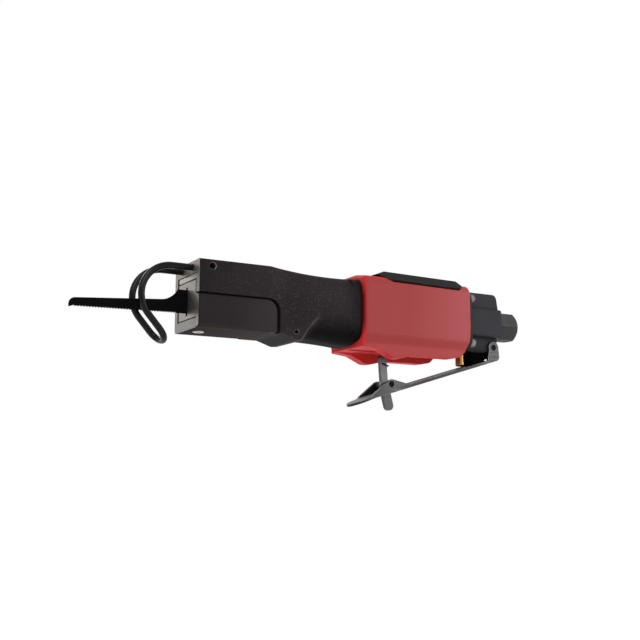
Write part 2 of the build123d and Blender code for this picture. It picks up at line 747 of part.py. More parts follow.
# Grip sleeve: cross profile and side profile crossed, then rounded, channelled and pocketed
crest_x = x_neck + 0.314 * sleeve_length
crest_z = channel_roof - 6.0
waist_z = channel_roof - 3.7
tail_z = channel_roof - 2.6
with BuildPart() as grip_sleeve:
    with BuildSketch(Plane.YZ.offset(x_neck)) as sleeve_cross:
        with BuildLine() as half_cross:
            Polyline(
                (0, sleeve_top),
                (sleeve_flat, sleeve_top),
                (sleeve_half - shoulder_in, sleeve_top - shoulder_drop),
                (sleeve_half, sleeve_top - flank_drop),
                (sleeve_half, channel_roof + crease_up),
                (sleeve_half - hollow_in, channel_roof + hollow_up),
                (sleeve_half - hollow_in - 0.3, crest_z - 1),
                (0, crest_z - 1),
            )
            mirror(about=Plane.YZ)
        make_face()
        corner_z = (sleeve_top - flank_drop - 0.1, sleeve_top - shoulder_drop + 0.1)
        fillet(sleeve_cross.vertices().filter_by_position(Axis.Y, *corner_z), shoulder_round)
        crease_z = (channel_roof + crease_up - 0.1, channel_roof + crease_up + 0.1)
        fillet(sleeve_cross.vertices().filter_by_position(Axis.Y, *crease_z), crease_round)
        hollow_z = (channel_roof + hollow_up - 0.1, channel_roof + hollow_up + 0.1)
        fillet(sleeve_cross.vertices().filter_by_position(Axis.Y, *hollow_z), hollow_round)
    extrude(amount=sleeve_length + sleeve_lap)
    front_rim = grip_sleeve.faces().sort_by(Axis.X)[0].outer_wire().edges()
    fillet(front_rim, front_round)
    rear_rim = grip_sleeve.faces().sort_by(Axis.X)[-1].outer_wire().edges()
    fillet(rear_rim, rear_round)
    with BuildSketch(Plane.XZ) as sleeve_side:
        with BuildLine():
            Polyline(
                (x_sleeve_end, channel_roof + 22),
                (x_sleeve_end, sleeve_top),
                (x_neck, sleeve_top),
                (x_neck, channel_roof),
                (x_neck + 11.5, channel_roof - 1.4),
                (crest_x - 2.5, crest_z),
                (crest_x + 2.5, crest_z),
                (crest_x + 11.5, waist_z),
                (x_sleeve_end - 14, waist_z),
                (x_sleeve_end - 7.5, tail_z),
                (x_sleeve_end - 4, tail_z + 3.5),
                (x_sleeve_end - 1.7, channel_roof + 7.5),
                close=True,
            )
        make_face()
        ridge = sleeve_side.vertices().filter_by_position(Axis.X, x_neck + 5, x_sleeve_end - 2)
        fillet(ridge, 4.0)
    extrude(amount=sleeve_half + 1, both=True, mode=Mode.INTERSECT)
    # Bore for the barrel, channel for the lever, groove for the catch, pocket and exhaust window
    with BuildSketch(Plane.YZ.offset(x_neck)):
        RectangleRounded(2 * (barrel_half + fit), 2 * (barrel_half + fit), barrel_corner + fit)
    extrude(amount=sleeve_length + sleeve_lap, mode=Mode.SUBTRACT)
    with BuildSketch(Plane.YZ.offset(x_neck)):
        with Locations((0, channel_roof - 10)):
            Rectangle(2 * channel_half, 20)
    extrude(amount=sleeve_length + sleeve_lap, mode=Mode.SUBTRACT)
    with BuildSketch(Plane.XY.offset(channel_roof)):
        with Locations((x_catch - catch_arm / 2, 0)):
            Rectangle(catch_arm + 12, 2 * catch_half + 2.4)
    extrude(amount=catch_groove, mode=Mode.SUBTRACT)
    add(pocket.part, mode=Mode.SUBTRACT)
    with BuildSketch(Plane.XY.offset(barrel_half - 2)):
        with Locations((x_exhaust, 0)):
            Rectangle(exhaust_length, 2 * exhaust_half)
    extrude(amount=10, mode=Mode.SUBTRACT)
keep(grip_sleeve, "grip_sleeve")

# Exhaust deflector: hipped saddle in the pocket, with a plain band along its lower edge
deflector_plane = Plane(
    origin=(x_deflector, 0, 0),
    x_dir=(0, 1, 0),
    z_dir=(cos(radians(deflector_tilt)), 0, -sin(radians(deflector_tilt))),
)
hang_z = sleeve_top - deflector_hang
with BuildPart() as exhaust_deflector:
    with BuildSketch(deflector_plane) as saddle:
        with BuildLine():
            Polyline(
                (-deflector_half, hang_z - deflector_band),
                (-deflector_half, hang_z),
                (-deflector_half + deflector_slope, deflector_top),
                (deflector_half - deflector_slope, deflector_top),
                (deflector_half, hang_z),
                (deflector_half, hang_z - deflector_band),
                close=True,
            )
        make_face()
        crown = saddle.vertices().group_by(Axis.Y)[-1]
        fillet(crown, deflector_round)
    extrude(amount=x_sleeve_end - x_deflector)
    with BuildSketch(Plane.XZ) as hip:
        hip_x = x_deflector + 2 * seam
        hip_end = x_deflector_end - 1.5 * seam
        with BuildLine():
            Polyline(
                (hip_x, sleeve_top),
                (hip_x + 1.5 * hip_length, sleeve_top + 1.5 * deflector_rise),
                (hip_end - 1.5 * hip_drop, sleeve_top + 1.5 * deflector_rise),
                (hip_end, sleeve_top),
                (hip_end, rear_z + pocket_step),
                (x_ledge_end - 2.5 * seam, rear_z),
                (x_ledge + 2 * seam, front_z),
                close=True,
            )
        make_face()
    extrude(amount=deflector_half + 1, both=True, mode=Mode.INTERSECT)
    brow = exhaust_deflector.edges().filter_by(Axis.Y).sort_by(Axis.Z)[-2:]
    fillet(brow, deflector_round)
    with BuildSketch(Plane.YZ.offset(x_neck)):
        RectangleRounded(2 * core_half, 2 * core_half, core_corner)
    extrude(amount=sleeve_length + sleeve_lap, mode=Mode.SUBTRACT)
    with BuildSketch(Plane.XY.offset(core_half)):
        with Locations((x_exhaust, 0)):
            Rectangle(exhaust_length + 6, 2 * exhaust_half + 4)
    extrude(amount=deflector_top - core_half - 3, mode=Mode.SUBTRACT)
    with BuildSketch(Plane.XY.offset(core_half)):
        with Locations((x_exhaust, 0)):
            with GridLocations(0, vent_pitch, 1, 4):
                SlotOverall(0.8 * exhaust_length, vent_width)
    extrude(amount=deflector_top, mode=Mode.SUBTRACT)
keep(exhaust_deflector, "exhaust_deflector")

with BuildPart() as exhaust_muffler:
    with BuildSketch(Plane.XY.offset(barrel_half)):
        with Locations((x_exhaust, 0)):
            Rectangle(exhaust_length - 2 * seam, 2 * exhaust_half - 2 * seam)
    extrude(amount=core_half - barrel_half)
keep(exhaust_muffler, "exhaust_muffler")

# Rear cap: flange, cross-shaped body, keel with the lever lug, valve and air bores
with BuildPart() as rear_cap:
    with BuildSketch(Plane.YZ.offset(x_flange)):
        RectangleRounded(2 * barrel_half, 2 * barrel_half, barrel_corner)
    extrude(amount=flange_thickness)
    with BuildSketch(Plane.YZ.offset(x_seat)) as arm:
        with Locations((0, arm_lift)):
            RectangleRounded(2 * arm_half, 2 * arm_height, 2.0)
    extrude(amount=cap_length)
    with BuildSketch(Plane.XZ) as spine:
        with BuildLine():
            Polyline(
                (x_seat, 0),
                (x_seat, spine_top),
                (x_cap - 1.5, spine_top),
                (x_cap, spine_top - 9),
                (x_cap, 0),
                close=True,
            )
        make_face()
        top_corner = spine.vertices().filter_by_position(Axis.X, x_cap - 2, x_cap - 1)
        fillet(top_corner, 3.5)
    extrude(amount=spine_half, both=True)
    ridge_edges = rear_cap.edges().filter_by(Axis.X).group_by(Axis.Z)[-1]
    fillet(ridge_edges, cap_round)
    with BuildSketch(Plane.XZ) as keel:
        with BuildLine():
            Polyline(
                (x_seat, 0),
                (x_seat, keel_bottom),
                (x_cap, keel_bottom),
                (x_cap, 0),
                close=True,
            )
        make_face()
        lug = keel.vertices().sort_by(lambda v: v.X - v.Y)[-1]
        fillet(lug, 4.4)
    extrude(amount=keel_half, both=True)
    keel_edges = rear_cap.edges().filter_by(Axis.X).group_by(Axis.Z)[0]
    fillet(keel_edges, cap_round)
    # Stop pad over the lever's web, clear of it at full lift
    lifted = radians(lever_droop - lever_lift)
    pad_x = (throttle_x + plunger_r + 0.5, pivot_x - 3.3)
    web_drop = (lever_drop - lever_sheet) / cos(lifted) - pad_gap
    pad_z = [pivot_z - web_drop - (pivot_x - x) * tan(lifted) for x in pad_x]
    with BuildSketch(Plane.XZ):
        with BuildLine():
            Polyline(
                (pad_x[0], keel_bottom + 2),
                (pad_x[0], pad_z[0]),
                (pad_x[1], pad_z[1]),
                (pad_x[1], keel_bottom + 2),
                close=True,
            )
        make_face()
    extrude(amount=pad_half, both=True)
    # Air way from the inlet to the motor
    with BuildSketch(Plane.YZ.offset(x_flange)):
        Circle(passage_r)
    extrude(amount=flange_thickness + cap_length, mode=Mode.SUBTRACT)
    with BuildSketch(Plane.YZ.offset(x_cap)):
        Circle(spigot_r + fit)
    extrude(amount=-spigot_length - screen_thickness, mode=Mode.SUBTRACT)
    with BuildSketch(Plane.XY.offset(keel_bottom)):
        with Locations((throttle_x, 0)):
            Circle(throttle_r + fit)
    extrude(amount=throttle_roof - keel_bottom, mode=Mode.SUBTRACT)
    with BuildSketch(Plane.XZ):
        with Locations((pivot_x, pivot_z)):
            Circle(pivot_r + fit)
    extrude(amount=keel_half + 1, both=True, mode=Mode.SUBTRACT)
    with BuildSketch(Plane.YZ.offset(x_flange)):
        with GridLocations(2 * bolt_pitch, 2 * bolt_pitch, 2, 2):
            Circle(bolt_r + fit)
    extrude(amount=flange_thickness, mode=Mode.SUBTRACT)
keep(rear_cap, "rear_cap")

with BuildPart() as cap_screws:
    with BuildSketch(Plane.YZ.offset(x_seat)):
        with GridLocations(2 * bolt_pitch, 2 * bolt_pitch, 2, 2):
            Circle(bolt_head_r)
    extrude(amount=bolt_head)
    with BuildSketch(Plane.YZ.offset(x_seat)):
        with GridLocations(2 * bolt_pitch, 2 * bolt_pitch, 2, 2):
            Circle(bolt_r)
    extrude(amount=-(flange_thickness + gasket_thickness + bolt_grip - 1))
    with BuildSketch(Plane.YZ.offset(x_seat + bolt_head)):
        with GridLocations(2 * bolt_pitch, 2 * bolt_pitch, 2, 2):
            RegularPolygon(0.52 * bolt_head_r, 6)
    extrude(amount=-0.55 * bolt_head, mode=Mode.SUBTRACT)
keep(cap_screws, "cap_screws")

# Hex inlet with its threaded bore, washer and strainer
with BuildPart() as inlet_bushing:
    with BuildSketch(Plane.YZ.offset(x_cap + inlet_seal_thickness)):
        RegularPolygon(hex_flats / 2, 6, major_radius=False, rotation=0)
    extrude(amount=hex_length - inlet_seal_thickness)
    with BuildSketch(Plane.XZ):
        with BuildLine():
            Polyline(
                (x_cap, 0),
                (0, 0),
                (0, hex_flats / 2 - 0.4),
                (-2.2, hex_flats / sqrt(3) + 0.6),
                (x_cap, hex_flats / sqrt(3) + 0.6),
                close=True,
            )
        make_face()
    revolve(axis=Axis.X, mode=Mode.INTERSECT)
    with BuildSketch(Plane.YZ.offset(x_cap + inlet_seal_thickness)):
        Circle(spigot_r)
    extrude(amount=-(spigot_length + inlet_seal_thickness))
    with BuildSketch(Plane.YZ.offset(x_cap - spigot_length)):
        Circle(passage_r)
    extrude(amount=hex_length + spigot_length, mode=Mode.SUBTRACT)
    with BuildSketch(Plane.YZ):
        Circle(inlet_r)
    extrude(amount=-inlet_depth, mode=Mode.SUBTRACT)
keep(inlet_bushing, "inlet_bushing")

with BuildPart() as inlet_seal:
    with BuildSketch(Plane.YZ.offset(x_cap)):
        Circle(hex_flats / 2 - 0.5)
        Circle(spigot_r + fit, mode=Mode.SUBTRACT)
    extrude(amount=inlet_seal_thickness)
keep(inlet_seal, "inlet_seal")

with BuildPart() as inlet_screen:
    with BuildSketch(Plane.YZ.offset(x_cap - spigot_length - screen_thickness)):
        Circle(spigot_r)
        with GridLocations(1.9, 1.9, 3, 3):
            Circle(0.65, mode=Mode.SUBTRACT)
    extrude(amount=screen_thickness)
keep(inlet_screen, "inlet_screen")

# Lever frame: u runs forward along the arm, v stands square on it, origin at the pivot
droop = radians(lever_droop)
lever_plane = Plane(
    origin=(pivot_x, 0, pivot_z),
    x_dir=(-cos(droop), 0, -sin(droop)),
    z_dir=(0, 1, 0),
)
web_plane = Plane(
    origin=lever_plane.from_local_coords(Vector(0, -lever_drop, 0)),
    x_dir=(-cos(droop), 0, -sin(droop)),
    z_dir=(-sin(droop), 0, cos(droop)),
)
rim_v = lever_sheet + lever_lip - lever_drop
apex_v = catch_v + catch_crown
bend_u = lever_length - tip_length
bend = radians(lever_droop + tip_bend)
tip_plane = Plane(
    origin=web_plane.from_local_coords(Vector(bend_u, 0, 0)),
    x_dir=(-cos(bend), 0, -sin(bend)),
    z_dir=(-sin(bend), 0, cos(bend)),
)
tip_u = tip_length - lever_half
tip_lap = 2 * lever_sheet * tan(bend - droop)
plunger_u = (pivot_x - throttle_x + (lever_drop - lever_sheet) * sin(droop)) / cos(droop)
with BuildPart() as throttle_lever:
    with BuildSketch(web_plane) as tray:
        with Locations(((bend_u + lever_heel) / 2, 0)):
            Rectangle(bend_u - lever_heel, 2 * lever_half)
    extrude(amount=lever_sheet)
    with BuildSketch(tip_plane) as tip:
        with Locations((tip_u / 2 - tip_lap / 2, 0)):
            Rectangle(tip_u + tip_lap, 2 * lever_half)
        with Locations((tip_u, 0)):
            Circle(lever_half)
    extrude(amount=lever_sheet)
    with BuildSketch(lever_plane.offset(-lever_half)) as cheek:
        with BuildLine():
            Polyline(
                (-2.2, -lever_drop),
                (-ear_r, 0),
                (ear_r, 0),
                (7.2, rim_v),
                (catch_u - 13.0, rim_v),
                (catch_u - 1.2, apex_v),
                (catch_u + 0.8, apex_v),
                (catch_u + 14.5, catch_v - catch_crown),
                (catch_u + 17.0, 0.2 - lever_drop),
                (bend_u - 2, -lever_drop),
                close=True,
            )
        make_face()
        Circle(ear_r)
        heel_corner = cheek.vertices().sort_by(lambda v: 10 * v.Y + v.X)[0]
        fillet(heel_corner, heel_round)
    extrude(amount=lever_sheet)
    with BuildSketch(lever_plane.offset(lever_half)):
        add(cheek.sketch_local)
    extrude(amount=-lever_sheet)
    with BuildSketch(web_plane.offset(lever_sheet)):
        with Locations((plunger_u, 0)):
            Circle(plunger_r + 1)
    extrude(amount=dimple_height)
    with BuildSketch(web_plane):
        with Locations((catch_u - 6.4, 0)):
            SlotOverall(22.5, 2 * catch_half + 1.6)
    extrude(amount=lever_sheet, mode=Mode.SUBTRACT)
    with BuildSketch(lever_plane):
        Circle(pivot_r + running_fit)
        with Locations((catch_u, catch_v)):
            Circle(catch_head_r + fit)
    extrude(amount=lever_half + 1, both=True, mode=Mode.SUBTRACT)
keep(throttle_lever, "throttle_lever")

with BuildPart() as lever_pin:
    with BuildSketch(Plane.XZ):
        with Locations((pivot_x, pivot_z)):
            Circle(pivot_r)
    extrude(amount=lever_half + 0.4, both=True)
    chamfer(lever_pin.edges(), 0.3)
keep(lever_pin, "lever_pin")

# Safety catch between the front flanges of the lever
catch_at = lever_plane.from_local_coords(Vector(catch_u, catch_v, 0))
catch_plane = Plane(origin=catch_at, x_dir=(1, 0, 0), z_dir=(0, -1, 0))
with BuildPart() as safety_catch:
    with BuildSketch(catch_plane) as catch_side:
        arm_r = catch_arm_width / 2
        arm_x = -(catch_arm - arm_r) * sin(radians(catch_lean))
        arm_z = (catch_arm - arm_r) * cos(radians(catch_lean))
        tab_r = catch_tab_width / 2
        tab_x = (catch_tab - tab_r) * sin(radians(catch_slant))
        tab_z = -(catch_tab - tab_r) * cos(radians(catch_slant))
        with Locations(Pos(arm_x / 2, arm_z / 2) * Rot(0, 0, 90 + catch_lean)):
            SlotCenterToCenter(catch_arm - arm_r, catch_arm_width)
        with Locations(Pos(tab_x / 2, tab_z / 2) * Rot(0, 0, 90 + catch_slant)):
            SlotCenterToCenter(catch_tab - tab_r, catch_tab_width)
        Circle(catch_pin_r + running_fit, mode=Mode.SUBTRACT)
    extrude(amount=catch_half, both=True)
keep(safety_catch, "safety_catch")

with BuildPart() as catch_pin:
    with BuildSketch(catch_plane):
        Circle(catch_pin_r)
    extrude(amount=lever_half - 0.3, both=True)
    for side in (-1, 1):
        with BuildSketch(catch_plane.offset(side * (lever_half - 0.3))):
            Circle(catch_head_r)
        extrude(amount=-side * (lever_sheet - 0.3))
keep(catch_pin, "catch_pin")

# Torsion spring beside the catch
with BuildPart() as catch_spring:
    coil_r = catch_pin_r + spring_wire + 0.15
    coil_start = Vector(catch_at.X, catch_half + 0.6, catch_at.Z)
    with BuildLine() as coil:
        Helix(1.2, 3.6, coil_r, center=coil_start, direction=(0, 1, 0))
    with BuildSketch(Plane(origin=coil.line @ 0, z_dir=coil.line % 0)):
        RegularPolygon(spring_wire, 6)
    sweep()
keep(catch_spring, "catch_spring")

# Throttle valve: bushing, ball, spring and brass plunger
with BuildPart() as throttle_bushing:
    with BuildSketch(Plane.XY.offset(keel_bottom)):
        with Locations((throttle_x, 0)):
            Circle(throttle_r)
            Circle(plunger_r + running_fit, mode=Mode.SUBTRACT)
    extrude(amount=throttle_seat - keel_bottom)
keep(throttle_bushing, "throttle_bushing")

seat_r = plunger_r + running_fit
ball_z = throttle_seat + sqrt(ball_r**2 - seat_r**2) + 0.02
press_v = lever_drop - lever_sheet - dimple_height
lever_top_z = pivot_z - (pivot_x - throttle_x) * tan(droop) - press_v / cos(droop)
nose_flat = plunger_r - plunger_nose
nose_rise = (nose_flat + plunger_nose * sin(droop)) * tan(droop) - plunger_nose * (1 - cos(droop))
plunger_bottom = lever_top_z + nose_rise + lever_gap
with BuildPart() as throttle_plunger:
    with BuildSketch(Plane.XY.offset(plunger_bottom)):
        with Locations((throttle_x, 0)):
            Circle(plunger_r)
    extrude(amount=ball_z - ball_r - fit - plunger_bottom)
    fillet(throttle_plunger.faces().sort_by(Axis.Z)[0].edges(), plunger_nose)
keep(throttle_plunger, "throttle_plunger")

with BuildPart() as throttle_ball:
    with Locations((throttle_x, 0, ball_z)):
        Sphere(ball_r)
keep(throttle_ball, "throttle_ball")

with BuildPart() as throttle_spring:
    ring_r = spring_r - spring_wire - 0.1
    spring_base = ball_z + sqrt(ball_r**2 - ring_r**2) + spring_wire + 0.4
    with BuildLine() as spring_coil:
        spring_height = throttle_roof - spring_wire - 0.1 - spring_base
        Helix(spring_pitch, spring_height, spring_r, center=(throttle_x, 0, spring_base))
    with BuildSketch(Plane(origin=spring_coil.line @ 0, z_dir=spring_coil.line % 0)):
        RegularPolygon(spring_wire, 6)
    sweep()
keep(throttle_spring, "throttle_spring")
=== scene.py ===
from math import cos, pi, radians, sin

import bmesh
import bpy
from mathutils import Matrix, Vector


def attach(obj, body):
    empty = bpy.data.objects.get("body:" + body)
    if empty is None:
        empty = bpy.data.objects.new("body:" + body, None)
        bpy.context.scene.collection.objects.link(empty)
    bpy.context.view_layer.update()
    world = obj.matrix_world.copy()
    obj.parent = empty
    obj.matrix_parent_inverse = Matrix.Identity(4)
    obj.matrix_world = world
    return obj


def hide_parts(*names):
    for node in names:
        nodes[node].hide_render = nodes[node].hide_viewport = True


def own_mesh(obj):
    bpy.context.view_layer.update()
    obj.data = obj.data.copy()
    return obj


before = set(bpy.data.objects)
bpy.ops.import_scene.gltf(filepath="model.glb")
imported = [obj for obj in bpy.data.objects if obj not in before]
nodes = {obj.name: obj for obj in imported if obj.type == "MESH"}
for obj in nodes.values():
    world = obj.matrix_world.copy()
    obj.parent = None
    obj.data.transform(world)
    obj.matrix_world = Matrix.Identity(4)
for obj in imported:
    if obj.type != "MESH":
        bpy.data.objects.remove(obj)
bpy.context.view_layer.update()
scene = bpy.context.scene
scene.view_settings.view_transform = "Standard"

# A millimetre, in metres
MM = 0.001

# Nose and neck, lengths in metres; a hole is the X and Z of its axis and its radius
NOSE_FACE = -0.2310
NOSE_BOTTOM = -0.0184
NOSE_REAR = -0.186
SET_SCREW_HOLE = (-0.2230, 0.0162, 0.00215)
PIN_HOLE = (-0.1702, -0.0169, 0.00148)
CREST_X = -0.1502
CREST_SLANT = 0.740
CREST_AHEAD = 0.0007
MILLED_SKIN = 0.00005
UNDER_NOSE_DEPTH = 0.0022
UNDER_NOSE_ROUGHNESS = 0.90

# Rear cap, inlet and cap screws
KEEL_BOTTOM = -0.0184
PAD_SKIN = 0.0002
CAP_SEAT = -0.0450
BOLT_PITCH = 0.0142
BOLT_HEAD_R = 0.00275
INLET_R = 0.0057
INLET_DEPTH = 0.0130

# Places between which a colour fades in or out, along X, along Z or across the crest
HOLLOW_Z = (-0.015, -0.004)
HOLLOW_PAST_CREST = (0.0, 0.004)
NECK_BY_GRIP_X = (-0.139, -0.127)
CREST_HALF_WIDTH = (0.0003, 0.0016)
CREST_Z = (-0.011, -0.006)
NOSE_SHADE_X = (NOSE_FACE, -0.192)
COVER_LIGHT_X = (-0.212, -0.186)
GRIP_X = (-0.095, -0.055)
HEM_Z = (-0.0205, -0.0180)
NECK_SHADOW_OFF_AXIS = (0.008, 0.016)
CAP_LOW_Z = (-0.0170, -0.0090)
STRIP_FRONT_X = (-0.094, -0.086)
STRIP_REAR_X = (-0.034, -0.026)
TIP_X = (-0.120, -0.104)
TAB_Z = (-0.050, -0.042)

# Parts of a normal along an axis, between which a colour fades in or out
OUTWARD = (0.45, 0.95)
AGAINST_AXIS = (-0.95, -0.50)
SLOPING_DOWN = (-0.36, -0.10)
TURNED_DOWN = (-0.50, -0.10)

# Colours used more than once
PAINTED_SHADE_BLACK = (0.0030, 0.0025, 0.0026)
UNDER_NOSE_COLOUR = (0.036, 0.029, 0.026)
GAP_SHADE_COLOUR = (0.006, 0.006, 0.006)

# Photograph's camera, in degrees, millimetres and metres
CAMERA_AZIMUTH = -29.45
CAMERA_ELEVATION = -9.26
CAMERA_LENS = 60.36
CAMERA_PLACE = (-0.45745, -0.55322, -0.10919)

# Studio: the floor, the light levels and the point that the lamps face
FLOOR_Z = -0.25
FLOOR_SIZE = 16.0
AMBIENT = 0.22
FLOOR_GLOW = 0.75
FLOOR_BOUNCE = 0.40
MIDDLE = (-0.12, 0.0, -0.01)

# Factor, A, B and result of a Mix node that is set to colours
MIX_INPUTS = (0, 6, 7)
MIX_RESULT = 2


class Nodes:
    """Short ways to add shader nodes to one tree."""

    def __init__(self, tree):
        self.tree = tree

    def join(self, socket, value):
        """Links an output to a socket, or sets the socket to a value."""
        if isinstance(value, bpy.types.NodeSocket):
            self.tree.links.new(value, socket)
        elif socket.type == "RGBA" and len(value) == 3:
            socket.default_value = (*value, 1.0)
        else:
            socket.default_value = value

    def put(self, kind, **inputs):
        """A new node's outputs, with its inputs set to values or joined to other outputs."""
        made = self.tree.nodes.new("ShaderNode" + kind)
        for name, value in inputs.items():
            self.join(made.inputs[name.replace("_", " ")], value)
        return made.outputs

    def operate(self, kind, operation, values):
        """The outputs of a Math or VectorMath node."""
        made = self.tree.nodes.new("ShaderNode" + kind)
        made.operation = operation
        for socket, value in zip(made.inputs, values):
            self.join(socket, value)
        return made.outputs

    def calc(self, operation, *values):
        """The result of a Math node."""
        return self.operate("Math", operation, values)["Value"]

    def mix(self, factor, low, high):
        """Two colours, or outputs that carry colours, mixed by a factor."""
        made = self.tree.nodes.new("ShaderNodeMix")
        made.data_type = "RGBA"
        for place, value in zip(MIX_INPUTS, (factor, low, high)):
            self.join(made.inputs[place], value)
        return made.outputs[MIX_RESULT]

    def spread(self, value, low, high, start=0.3, end=0.7):
        """A value held between start and end, stretched to run from low to high."""
        made = self.put("MapRange", Value=value,
                        From_Min=start, From_Max=end, To_Min=low, To_Max=high)
        return made["Result"]

    def split(self, vector):
        """The X, Y and Z of a vector."""
        made = self.put("SeparateXYZ", Vector=vector)
        return made["X"], made["Y"], made["Z"]

    def noise(self, vector, scale, detail):
        """The value of a noise texture, mostly between 0.3 and 0.7."""
        return self.put("TexNoise", Vector=vector, Scale=scale, Detail=detail)["Fac"]

    def seen_directly(self):
        """1 for what the camera sees, also in a reflection or through glass, and otherwise 0."""
        path = self.put("LightPath")
        seen = self.calc("MAXIMUM", path["Is Camera Ray"], path["Is Glossy Ray"])
        return self.calc("MAXIMUM", seen, path["Is Transmission Ray"])


class Finish(Nodes):
    """One material: a fine grain and broad patches drive its colour, gloss and relief."""

    PATCH_GRAINS = 45
    GRAIN_SHARE = 0.5

    def __init__(self, name, dark, light, gloss, grain, relief,
                 specular=0.5, metallic=0.0, stretch=(1, 1, 1), edge=0.0004):
        self.material = bpy.data.materials.new(name)
        self.material.use_nodes = True
        super().__init__(self.material.node_tree)
        self.shader = self.tree.nodes["Principled BSDF"]
        self.shader.inputs["Specular IOR Level"].default_value = specular
        self.shader.inputs["Metallic"].default_value = metallic
        self.place = self.put("TexCoord")["Object"]
        stretched = self.put("Mapping", Vector=self.place, Scale=stretch)["Vector"]
        self.fine = self.noise(stretched, 1 / grain, detail=4.0)
        self.broad = self.noise(stretched, 1 / (self.PATCH_GRAINS * grain), detail=3.0)
        grains = self.spread(self.fine, -0.5, 0.5)
        patches = self.spread(self.broad, 0.15, 0.85)
        shade = self.calc("MULTIPLY_ADD", grains, self.GRAIN_SHARE, patches)
        self.colour = self.mix(shade, dark, light)
        self.roughness = self.spread(self.broad, *gloss)
        self.relief = relief
        self.rounded = self.put("Bevel", Radius=edge)["Normal"]

    def tint(self, mask, colour):
        """Another colour where the mask is 1."""
        self.colour = self.mix(mask, self.colour, colour)

    def regloss(self, mask, roughness):
        """Another roughness where the mask is 1."""
        step = self.calc("SUBTRACT", roughness, self.roughness)
        self.roughness = self.calc("MULTIPLY_ADD", step, mask, self.roughness)

    def flecks(self, size, share, colour):
        """Small paler grains of ragged shape, each under size across, on a share of the surface."""
        drift = self.put("TexNoise", Vector=self.place, Scale=2.5 / size, Detail=2.0)["Color"]
        shift = [0.9 * size] * 3
        ragged = self.operate("VectorMath", "MULTIPLY_ADD", (drift, shift, self.place))["Vector"]
        cells = self.put("TexVoronoi", Vector=ragged, Scale=1 / size)
        uneven = self.noise(self.place, 0.8 / size, detail=1.0)
        reach = self.spread(uneven, 0.5 * share, 1.3 * share)
        near = self.calc("LESS_THAN", cells["Distance"], reach)
        clusters = self.spread(self.noise(self.place, 0.25 / size, detail=2.0), 0.0, 1.0)
        self.tint(self.calc("MULTIPLY", near, clusters), colour)

    def scratches(self, stretch, amount, colour):
        """Fine drawn marks along one direction."""
        along = self.put("Mapping", Vector=self.place, Scale=stretch)["Vector"]
        marks = self.noise(along, 1.0, detail=6.0)
        self.tint(self.spread(marks, 0.0, amount, 0.45, 0.75), colour)

    def edge_wear_and_painted_light(self, amount, colour, sharp=0.86):
        """Edges of another tone, where the rounded surface turns away from the flat one: painted
        highlights, painted shade beside gaps, and some edge wear.
        """
        flat = self.put("NewGeometry")["Normal"]
        turn = self.operate("VectorMath", "DOT_PRODUCT", (flat, self.rounded))["Value"]
        edges = self.spread(turn, amount, 0.0, sharp, 0.995)
        kept = self.spread(self.broad, 0.4, 1.0)
        self.tint(self.calc("MULTIPLY", edges, kept), colour)

    def painted_crevice_shade(self, reach, amount, colour):
        """Painted shade: darker where other surfaces stand close."""
        open_sky = self.put("AmbientOcclusion", Distance=reach)["AO"]
        self.tint(self.spread(open_sky, amount, 0.0, 0.15, 0.80), colour)

    def bare(self, mask, colour, roughness):
        """Metal without the coat where the mask is 1."""
        self.tint(mask, colour)
        self.regloss(mask, roughness)
        self.join(self.shader.inputs["Metallic"], mask)

    def along_y(self, x, z):
        """The distance from a line along Y, such as a hole's axis."""
        here_x, _, here_z = self.split(self.place)
        dx = self.calc("SUBTRACT", here_x, x)
        dz = self.calc("SUBTRACT", here_z, z)
        squares = self.calc("MULTIPLY_ADD", dx, dx, self.calc("MULTIPLY", dz, dz))
        return self.calc("SQRT", squares)

    def paler_under_nose(self):
        """A paler, warmer and duller coat under the nose."""
        here_x, _, here_z = self.split(self.place)
        ahead = self.spread(here_x, 1.0, 0.0, NOSE_REAR - UNDER_NOSE_DEPTH, NOSE_REAR)
        lowest = self.spread(here_z, 1.0, 0.0, NOSE_BOTTOM, NOSE_BOTTOM + UNDER_NOSE_DEPTH)
        low = self.calc("MULTIPLY", ahead, lowest)
        uneven = self.spread(self.broad, 0.6, 1.0)
        self.tint(self.calc("MULTIPLY", low, uneven), UNDER_NOSE_COLOUR)
        self.regloss(low, UNDER_NOSE_ROUGHNESS)

    def milled(self, warm, roughness, holes=()):
        """Bare metal in drilled holes and on the front face, which has fine marks of the cutter."""
        here_x, _, _ = self.split(self.place)
        uncoated = self.calc("LESS_THAN", here_x, NOSE_FACE + MILLED_SKIN)
        for x, z, radius in holes:
            inside = self.calc("LESS_THAN", self.along_y(x, z), radius)
            uncoated = self.calc("MAXIMUM", uncoated, inside)
        across = self.put("Mapping", Vector=self.place, Scale=(1, 60, 1500))["Vector"]
        marks = self.spread(self.noise(across, 1.0, detail=5.0), 0.0, 1.0)
        shaded = [0.82 * part for part in warm]
        self.bare(uncoated, self.mix(marks, shaded, warm), roughness)

    def on(self, *names):
        """Joins the last nodes and gives the material to CAD nodes."""
        bump = self.put("Bump", Strength=1.0, Height=self.fine, Distance=self.relief,
                        Normal=self.rounded)
        self.join(self.shader.inputs["Base Color"], self.colour)
        self.join(self.shader.inputs["Roughness"], self.roughness)
        self.join(self.shader.inputs["Normal"], bump["Normal"])
        for name in names:
            nodes[name].material_slots[0].material = self.material


# Black casting: grainy coat with a sparkle, its front face milled bare
cast = Finish("casting_black", dark=(0.0116, 0.0094, 0.0099), light=(0.0290, 0.0238, 0.0248),
              gloss=(0.60, 0.78), grain=0.0007, relief=0.00018, specular=0.05)
cast.flecks(0.0009, 0.25, (0.076, 0.065, 0.066))
cast.paler_under_nose()
# Painted shade in the crevices
cast.painted_crevice_shade(0.005, 0.5, PAINTED_SHADE_BLACK)
